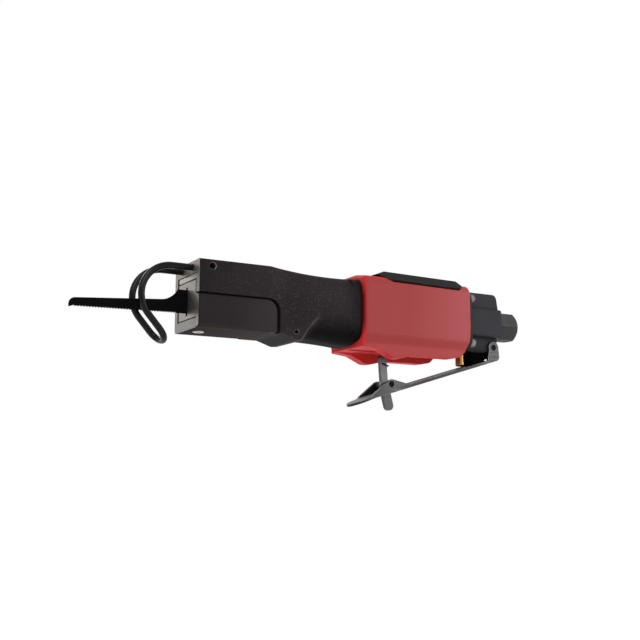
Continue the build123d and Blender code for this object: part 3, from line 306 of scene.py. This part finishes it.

# Painted shade darkens the finger hollow and the neck by the grip, and a painted highlight runs
# along the slanted crest ahead
cast_x, _, cast_z = cast.split(cast.place)
on_slant = cast.calc("MULTIPLY_ADD", cast_z, -CREST_SLANT, cast_x)
past_crest = cast.calc("SUBTRACT", on_slant, CREST_X)
hollow_shade = cast.calc("MULTIPLY", cast.spread(cast_z, 0.95, 0.0, *HOLLOW_Z),
                   cast.spread(past_crest, 0.0, 1.0, *HOLLOW_PAST_CREST))
grip_side_shade = cast.spread(cast_x, 0.0, 0.7, *NECK_BY_GRIP_X)
cast.tint(cast.calc("MAXIMUM", hollow_shade, grip_side_shade), (0.0020, 0.0016, 0.0016))
off_crest = cast.calc("ABSOLUTE", cast.calc("ADD", past_crest, CREST_AHEAD))
crest = cast.calc("MULTIPLY", cast.spread(off_crest, 0.8, 0.0, *CREST_HALF_WIDTH),
                  cast.spread(cast_z, 1.0, 0.0, *CREST_Z))
cast.tint(crest, (0.080, 0.072, 0.074))

# Painted shade darkens the nose towards its front
cast.tint(cast.spread(cast_x, 0.5, 0.0, *NOSE_SHADE_X), PAINTED_SHADE_BLACK)
cast.milled((0.27, 0.255, 0.24), 0.42, [SET_SCREW_HOLE, PIN_HOLE])
cast.on("main_housing")

# Cover: smoother coat outside, with painted light that pales it towards its rear, and a bare plate
# in front
cover = Finish("cover_black", dark=(0.0120, 0.0098, 0.0102), light=(0.0214, 0.0175, 0.0182),
               gloss=(0.46, 0.60), grain=0.0012, relief=0.00004, specular=0.05, edge=0.0008)
cover_x, _, _ = cover.split(cover.place)
cover.tint(cover.spread(cover_x, 0.0, 0.7, *COVER_LIGHT_X), (0.032, 0.0268, 0.0278))
cover.paler_under_nose()
cover.milled((0.34, 0.315, 0.285), 0.40)
# Painted shade along the edges beside the gaps round the cover
cover.edge_wear_and_painted_light(0.95, GAP_SHADE_COLOUR, 0.95)
cover.on("blade_cover")

# Red grip: satin moulding; its outward flanks carry a painted sheen that pales towards the rear and
# reddens along the lower hem, with painted shade where they slope down
grip = Finish("grip_red", dark=(0.530, 0.0210, 0.0220), light=(0.610, 0.0290, 0.0295),
              gloss=(0.48, 0.62), grain=0.0009, relief=0.00002, specular=0.14, edge=0.0010)
grip_x, grip_y, grip_z = grip.split(grip.place)
facing_x, facing_y, facing_z = grip.split(grip.rounded)
flank_sheen_front = grip.mix(grip.fine, (0.270, 0.035, 0.035), (0.304, 0.047, 0.047))
flank_sheen_rear = grip.mix(grip.fine, (0.322, 0.056, 0.060), (0.356, 0.070, 0.074))
flank_sheen = grip.mix(grip.spread(grip_x, 0.0, 1.0, *GRIP_X), flank_sheen_front, flank_sheen_rear)
flank_sheen = grip.mix(grip.spread(grip_z, 0.6, 0.0, *HEM_Z), flank_sheen, (0.350, 0.045, 0.046))
flank_sheen = grip.mix(grip.spread(facing_z, 0.6, 0.0, *SLOPING_DOWN), flank_sheen, (0.240, 0.026, 0.026))
outward = grip.calc("MULTIPLY", facing_y, grip.calc("SIGN", grip_y))
grip.tint(grip.spread(outward, 0.0, 1.0, *OUTWARD), flank_sheen)
# Painted shade in the crevices
grip.painted_crevice_shade(0.014, 0.2, (0.120, 0.0030, 0.0038))
# Painted shadow of the neck on the front rim of the grip
off_axis = grip.calc("ABSOLUTE", grip_z)
neck_shadow = grip.calc("MULTIPLY", grip.spread(facing_x, 0.8, 0.0, *AGAINST_AXIS),
                   grip.spread(off_axis, 1.0, 0.0, *NECK_SHADOW_OFF_AXIS))
grip.tint(neck_shadow, (0.070, 0.0030, 0.0035))
# Painted highlights along the grip's edges
grip.edge_wear_and_painted_light(0.6, (0.660, 0.060, 0.060), 0.93)
grip.on("grip_sleeve")

# Exhaust deflector: black moulding with painted highlights along its edges
deflector = Finish("deflector_black", dark=(0.0024, 0.0020, 0.0018), light=(0.0052, 0.0045, 0.0041),
                   gloss=(0.36, 0.48), grain=0.0008, relief=0.00004, specular=0.025, edge=0.0005)
deflector.edge_wear_and_painted_light(0.9, (0.075, 0.070, 0.066), 0.95)
deflector.on("exhaust_deflector")

# Rear cap: black anodised with a blue tinge, with painted shade in its crevices and towards its
# bottom, its stop pad dull black
cap = Finish("cap_black", dark=(0.0250, 0.0242, 0.0285), light=(0.0405, 0.0393, 0.0450),
             gloss=(0.46, 0.60), grain=0.0007, relief=0.00005, specular=0.06)
# Paler edges: painted highlights, partly edge wear
cap.edge_wear_and_painted_light(0.35, (0.075, 0.075, 0.085))
cap.painted_crevice_shade(0.012, 0.95, (0.0015, 0.0015, 0.0018))
_, _, cap_z = cap.split(cap.place)
cap.tint(cap.spread(cap_z, 0.6, 0.0, *CAP_LOW_Z), (0.0060, 0.0058, 0.0065))
pad = cap.calc("LESS_THAN", cap_z, KEEL_BOTTOM - PAD_SKIN)
cap.bare(pad, (0.0015, 0.0015, 0.0015), 0.80)
cap.on("rear_cap")

# Inlet: black oxide steel, with painted highlights along the corners of the hexagon and painted
# shade on faces turned down
inlet = Finish("inlet_steel", dark=(0.050, 0.047, 0.048), light=(0.076, 0.073, 0.074),
               gloss=(0.48, 0.62), grain=0.0006, relief=0.00002, specular=0.06, stretch=(6, 1, 1))
inlet.edge_wear_and_painted_light(0.9, (0.34, 0.33, 0.33))
_, _, inlet_upward = inlet.split(inlet.rounded)
inlet.tint(inlet.spread(inlet_upward, 0.45, 0.0, *TURNED_DOWN), (0.022, 0.020, 0.019))
inlet.on("inlet_bushing")

# Lever: grey plated sheet, scratched along its length, with painted shade in its crevices, on its
# strip, tip and downward faces, and painted highlights along its rims
lever = Finish("lever_grey", dark=(0.036, 0.036, 0.037), light=(0.066, 0.066, 0.067),
               gloss=(0.34, 0.48), grain=0.0010, relief=0.00003, metallic=1.0,
               stretch=(0.35, 1, 1), edge=0.0007)
lever.scratches((90, 900, 900), 0.35, (0.14, 0.14, 0.14))
lever.painted_crevice_shade(0.006, 0.8, (0.008, 0.008, 0.008))
lever_x, _, _ = lever.split(lever.place)
_, _, lever_upward = lever.split(lever.rounded)
strip = lever.calc("MULTIPLY", lever.spread(lever_x, 0.0, 0.6, *STRIP_FRONT_X),
                   lever.spread(lever_x, 1.0, 0.0, *STRIP_REAR_X))
tip = lever.spread(lever_x, 0.75, 0.0, *TIP_X)
downward_shade = lever.spread(lever_upward, 0.7, 0.0, *AGAINST_AXIS)
lever_shade = lever.calc("MAXIMUM", downward_shade, lever.calc("MAXIMUM", strip, tip))
lever.tint(lever_shade, (0.014, 0.014, 0.014))
lever.edge_wear_and_painted_light(0.9, (0.32, 0.32, 0.32), 0.93)
lever.on("throttle_lever")

# Catch: the same sheet, its tab darker towards its lower end, with painted highlights along its
# edges
catch = Finish("catch_grey", dark=(0.065, 0.063, 0.067), light=(0.114, 0.111, 0.117),
               gloss=(0.32, 0.46), grain=0.0010, relief=0.00003, metallic=1.0,
               stretch=(1, 1, 0.35))
_, _, catch_z = catch.split(catch.place)
catch.tint(catch.spread(catch_z, 0.5, 0.0, *TAB_Z), (0.024, 0.024, 0.024))
catch.edge_wear_and_painted_light(0.8, (0.30, 0.30, 0.30))
catch.on("safety_catch")

# Wire guard: dipped black, a little glossy
wire = Finish("wire_black", dark=(0.0024, 0.0021, 0.0019), light=(0.0046, 0.0040, 0.0037),
              gloss=(0.12, 0.18), grain=0.0009, relief=0.00002, specular=0.13)
wire.on("wire_guard")

# Blade: deep black coating
blade = Finish("blade_black", dark=(0.0020, 0.0020, 0.0020), light=(0.0035, 0.0035, 0.0035),
               gloss=(0.60, 0.75), grain=0.0006, relief=0.00002, specular=0.02, edge=0.0001)
blade.on("saw_blade")

# Bar across the window, bright inner steel and plated pieces
bar = Finish("bar_steel", dark=(0.36, 0.335, 0.30), light=(0.47, 0.44, 0.395),
             gloss=(0.30, 0.42), grain=0.0006, relief=0.00002, metallic=1.0,
             stretch=(1, 0.2, 1), edge=0.0008)
# Painted shade along the edges beside the gaps round the bar
bar.edge_wear_and_painted_light(0.95, GAP_SHADE_COLOUR, 0.95)
bar.on("guide_bar")
bright = Finish("bright_steel", dark=(0.46, 0.45, 0.44), light=(0.58, 0.57, 0.55),
                gloss=(0.20, 0.32), grain=0.0005, relief=0.00001, metallic=1.0,
                stretch=(0.2, 1, 1))
bright.on("cylinder", "valve_plate", "valve_chest", "valve_disc", "piston", "throttle_ball")
zinc = Finish("zinc_steel", dark=(0.50, 0.49, 0.46), light=(0.64, 0.62, 0.58),
              gloss=(0.26, 0.40), grain=0.0006, relief=0.00002, metallic=1.0)
zinc.on("inlet_screen", "throttle_spring")
plated = Finish("screw_plated", dark=(0.27, 0.26, 0.23), light=(0.36, 0.35, 0.31),
                gloss=(0.28, 0.40), grain=0.0005, relief=0.00002, metallic=1.0, edge=0.0003)
plated.on("cover_screw")

# Screws, pins and inner pieces of dark steel
bolt = Finish("screw_grey", dark=(0.085, 0.083, 0.083), light=(0.150, 0.147, 0.147),
              gloss=(0.30, 0.45), grain=0.0005, relief=0.00002, metallic=1.0, edge=0.0002)
# Painted highlights along the edges of the screw heads
bolt.edge_wear_and_painted_light(0.5, (0.30, 0.30, 0.30))
bolt.on("cap_screws")
steel = Finish("dark_steel", dark=(0.014, 0.013, 0.013), light=(0.030, 0.028, 0.028),
               gloss=(0.36, 0.50), grain=0.0005, relief=0.00002, metallic=1.0, edge=0.0002)
steel.on("catch_spring", "blade_holder", "holder_screws", "piston_rings")
pin = Finish("pin_black", dark=(0.0035, 0.0034, 0.0034), light=(0.0090, 0.0088, 0.0088),
             gloss=(0.40, 0.55), grain=0.0005, relief=0.00002, metallic=1.0, edge=0.0002)
# Painted highlights along the edges of the pins and set screws
pin.edge_wear_and_painted_light(0.4, (0.050, 0.049, 0.049))
pin.on("guard_set_screws", "retaining_pin", "lever_pin", "catch_pin")

# Brass and bronze
brass = Finish("brass_turned", dark=(0.21, 0.115, 0.042), light=(0.34, 0.205, 0.080),
               gloss=(0.14, 0.24), grain=0.0006, relief=0.00002, metallic=1.0, stretch=(1, 1, 4))
brass.on("throttle_plunger", "throttle_bushing")
bronze = Finish("bronze_sintered", dark=(0.26, 0.15, 0.06), light=(0.40, 0.25, 0.11),
                gloss=(0.40, 0.55), grain=0.0005, relief=0.00004, metallic=1.0)
bronze.on("rod_bushing")

# Seals, the soft buffer, gaskets and the felt muffler
rubber = Finish("rubber_black", dark=(0.010, 0.010, 0.010), light=(0.020, 0.020, 0.020),
                gloss=(0.60, 0.75), grain=0.0006, relief=0.00005, specular=0.35)
rubber.on("rod_seal", "front_bumper", "cylinder_seals")
soft = Finish("buffer_rubber", dark=(0.0016, 0.0016, 0.0016), light=(0.0034, 0.0034, 0.0034),
              gloss=(0.75, 0.88), grain=0.0006, relief=0.00003, specular=0.03)
soft.on()
fibre = Finish("gasket_fibre", dark=(0.030, 0.022, 0.016), light=(0.055, 0.042, 0.032),
               gloss=(0.75, 0.90), grain=0.0006, relief=0.00006, specular=0.25)
fibre.on("cap_gasket", "inlet_seal")
felt = Finish("felt_grey", dark=(0.06, 0.057, 0.052), light=(0.13, 0.125, 0.115),
              gloss=(0.90, 1.0), grain=0.0004, relief=0.00025, specular=0.15)
felt.on("exhaust_muffler")


# Pieces made here: too fine for the solids, or soft
def tool_piece(name, mesh, finish):
    """A closed mesh as a piece that rides on the tool."""
    bmesh.ops.recalc_face_normals(mesh, faces=mesh.faces)
    data = bpy.data.meshes.new(name)
    mesh.to_mesh(data)
    mesh.free()
    data.materials.append(finish.material)
    piece = bpy.data.objects.new(name, data)
    scene.collection.objects.link(piece)
    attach(piece, "tool")
    return piece


def skin(mesh, rings, closed):
    """Faces between rings of points, which close on themselves or end in caps."""
    for first, second in zip(rings, rings[1:] + rings[:1] if closed else rings[1:]):
        for side in range(len(first)):
            nearby = side - 1
            mesh.faces.new((first[nearby], first[side], second[side], second[nearby]))
    if not closed:
        mesh.faces.new(rings[0])
        mesh.faces.new(rings[-1])


# Leg of the catch spring: up behind the arm and hooked round its near face
LEG_WIRE_R = 0.0004
LEG_ROUTE_MM = [(-98.8, 1.95, -41.4), (-97.8, 1.95, -39.0), (-97.8, 1.95, -34.0),
                (-97.9, 1.9, -31.2), (-97.9, 0.0, -30.9), (-97.6, -2.2, -30.7),
                (-99.4, -1.75, -30.4), (-101.9, -1.8, -29.4)]
leg_path = bpy.data.curves.new("catch_spring_leg", "CURVE")
leg_path.dimensions = "3D"
leg_path.bevel_depth = LEG_WIRE_R
leg_path.bevel_resolution = 4
leg_path.use_fill_caps = True
leg_line = leg_path.splines.new("NURBS")
leg_line.points.add(len(LEG_ROUTE_MM) - 1)
for point, place in zip(leg_line.points, LEG_ROUTE_MM):
    point.co = (*(MM * part for part in place), 1.0)
leg_line.order_u = 3
leg_line.use_endpoint_u = True
leg_line.resolution_u = 8
leg_path.materials.append(pin.material)
leg = bpy.data.objects.new("catch_spring_leg", leg_path)
scene.collection.objects.link(leg)
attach(leg, "catch")

# Thread in the inlet: one ridge wound along the bore, which runs out at both ends
THREAD_PITCH = 0.00141
THREAD_HEIGHT = 0.00040
THREAD_END = 0.0008
THREAD_ROOT = 0.00012
THREAD_FOOT = 0.42
THREAD_CROWN = 0.06
THREAD_STEPS = 48
RUN_OUT_STEPS = 20
LEAST_RISE = 0.02
thread = bmesh.new()
count = int(THREAD_STEPS * (INLET_DEPTH - 2 * THREAD_END) / THREAD_PITCH)
rings = []
for step in range(count + 1):
    turn = 2 * pi * step / THREAD_STEPS
    rise = THREAD_HEIGHT * min(1.0, step / RUN_OUT_STEPS + LEAST_RISE,
                               (count - step) / RUN_OUT_STEPS + LEAST_RISE)
    x = -THREAD_END - THREAD_PITCH * step / THREAD_STEPS
    section = ((-THREAD_FOOT, THREAD_ROOT), (-THREAD_CROWN, -rise),
               (THREAD_CROWN, -rise), (THREAD_FOOT, THREAD_ROOT))
    rings.append([thread.verts.new((x + along * THREAD_PITCH,
                                    (INLET_R + out) * cos(turn),
                                    (INLET_R + out) * sin(turn))) for along, out in section])
skin(thread, rings, closed=False)
tool_piece("inlet_thread", thread, inlet)

# Knurl on the heads of the cap screws: a toothed band with sloping ends
TEETH = 40
TOOTH_TIP = 0.00011
TOOTH_ROOT = 0.00001
KNURL_BAND = (0.0003, 0.0029)
KNURL_FEET = (0.0001, 0.0031)
KNURL_INSIDE_R = 0.9 * BOLT_HEAD_R
for number, (y, z) in enumerate(((1, 1), (1, -1), (-1, 1), (-1, -1)), start=1):
    knurl = bmesh.new()
    rings = []
    for step in range(2 * TEETH):
        turn = pi * step / TEETH
        peak = BOLT_HEAD_R + (TOOTH_TIP if step % 2 else TOOTH_ROOT)
        section = ((KNURL_BAND[0], peak), (KNURL_BAND[1], peak),
                   (KNURL_FEET[1], KNURL_INSIDE_R), (KNURL_FEET[0], KNURL_INSIDE_R))
        rings.append([knurl.verts.new((CAP_SEAT + x,
                                       y * BOLT_PITCH + r * cos(turn),
                                       z * BOLT_PITCH + r * sin(turn))) for x, r in section])
    skin(knurl, rings, closed=True)
    tool_piece(f"screw_knurl_{number}", knurl, bolt)

# Throttle spring: a coil with closed ends, pressed together as the ball lifts
SPRING_X = -0.0417
SPRING_R = 0.0032
SPRING_WIRE = 0.0005
SPRING_LOW = -0.0034
SPRING_HIGH = 0.0074
TURNS = 6.5
TURN_STEPS = 32
WIRE_SIDES = 10
CLOSED_PITCH = 2.08 * SPRING_WIRE
open_pitch = (SPRING_HIGH - SPRING_LOW - 2 * CLOSED_PITCH) / (TURNS - 2)
coil = bmesh.new()
rings = []
for step in range(int(TURN_STEPS * TURNS) + 1):
    turned = step / TURN_STEPS
    closed_turns = min(turned, 1.0) + max(turned - TURNS + 1, 0.0)
    centre_z = SPRING_LOW + CLOSED_PITCH * closed_turns + open_pitch * (turned - closed_turns)
    ring = []
    for side in range(WIRE_SIDES):
        angle = 2 * pi * side / WIRE_SIDES
        reach = SPRING_R + SPRING_WIRE * cos(angle)
        ring.append(coil.verts.new((SPRING_X + reach * cos(2 * pi * turned),
                                    reach * sin(2 * pi * turned),
                                    centre_z + SPRING_WIRE * sin(angle))))
    rings.append(ring)
skin(coil, rings, closed=False)
spring = tool_piece("throttle_spring_coil", coil, zinc)
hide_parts("throttle_spring")
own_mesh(spring)

# Soft buffer between the rear cap's stop pad and the lever: pleated rubber with round corners,
# pressed flat as the lever closes
PAD_REAR = (-0.0262, -0.02284)
PAD_SLOPE = 0.155
PAD_BITE = 0.0001
LEVER_SLOPE = 0.302
BUFFER_GAP = 0.00127
BUFFER_LENGTH = 0.0108
BUFFER_WIDTH = 0.0132
BUFFER_CORNER_R = 0.0014
BUFFER_STEPS = 24
PLEATS = 6
PLEAT_DEPTH = 0.0003
buffer = bmesh.new()
rings = []
for layer in range(PLEATS + 1):
    share = layer / PLEATS
    inset = PLEAT_DEPTH if layer % 2 else 0.0
    corner = BUFFER_CORNER_R - inset
    half_length = BUFFER_LENGTH / 2 - inset - corner
    half_width = BUFFER_WIDTH / 2 - inset - corner
    ring = []
    for step in range(BUFFER_STEPS):
        angle = 2 * pi * (step + 0.5) / BUFFER_STEPS
        side_x = 1 if cos(angle) > 0 else -1
        side_y = 1 if sin(angle) > 0 else -1
        along = -BUFFER_LENGTH / 2 + side_x * half_length + corner * cos(angle)
        across = side_y * half_width + corner * sin(angle)
        top = PAD_SLOPE * along + PAD_BITE
        bottom = LEVER_SLOPE * along - BUFFER_GAP
        ring.append(buffer.verts.new((PAD_REAR[0] + along, across,
                                      PAD_REAR[1] + top + share * (bottom - top))))
    rings.append(ring)
skin(buffer, rings, closed=False)
stop_buffer = tool_piece("stop_buffer", buffer, soft)
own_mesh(stop_buffer)

# Camera at the photograph's angle: ahead of the tool, on its near side and a little below
azimuth = radians(CAMERA_AZIMUTH)
elevation = radians(CAMERA_ELEVATION)
back = Vector((sin(azimuth) * cos(elevation), -cos(azimuth) * cos(elevation), sin(elevation)))
lens = bpy.data.cameras.new("camera")
lens.sensor_width = 36.0
lens.lens = CAMERA_LENS
lens.clip_start = 0.01
camera = bpy.data.objects.new("camera", lens)
camera.location = CAMERA_PLACE
camera.rotation_mode = "QUATERNION"
camera.rotation_quaternion = back.to_track_quat("Z", "Y")
scene.collection.objects.link(camera)
scene.camera = camera

# World: white to the camera and in reflections, and a softer light on the rest
world = bpy.data.worlds.new("studio")
scene.world = world
world.use_nodes = True
sky = Nodes(world.node_tree)
background = sky.tree.nodes["Background"].inputs
background["Color"].default_value = (1.0, 1.0, 1.0, 1.0)
sky.join(background["Strength"],
         sky.calc("MULTIPLY_ADD", sky.seen_directly(), 1.0 - AMBIENT, AMBIENT))

# Pale floor that glows a little, so that it looks white and keeps the shadow
bpy.ops.mesh.primitive_plane_add(size=FLOOR_SIZE, location=(0, 0, FLOOR_Z))
floor = bpy.context.object
floor.name = "floor"
pale = bpy.data.materials.new("floor_pale")
pale.use_nodes = True
tile = Nodes(pale.node_tree)
paint = tile.tree.nodes["Principled BSDF"].inputs
paint["Base Color"].default_value = (0.82, 0.82, 0.82, 1.0)
paint["Roughness"].default_value = 0.9
paint["Emission Color"].default_value = (1.0, 1.0, 1.0, 1.0)
tile.join(paint["Emission Strength"],
          tile.calc("MULTIPLY_ADD", tile.seen_directly(), FLOOR_GLOW - FLOOR_BOUNCE, FLOOR_BOUNCE))
floor.data.materials.append(pale)


def softbox(name, place, size, power):
    """A square area light that faces the middle of the tool."""
    data = bpy.data.lights.new(name, "AREA")
    data.size = size
    data.energy = power
    lamp = bpy.data.objects.new(name, data)
    lamp.location = place
    lamp.rotation_mode = "QUATERNION"
    lamp.rotation_quaternion = (Vector(place) - Vector(MIDDLE)).to_track_quat("Z", "Y")
    scene.collection.objects.link(lamp)


softbox("key", (-0.75, -1.15, 0.95), size=1.0, power=15.0)
softbox("fill", (0.85, -1.05, 0.25), size=0.8, power=6.5)
softbox("back", (-0.20, 1.20, 0.90), size=1.0, power=6.0)
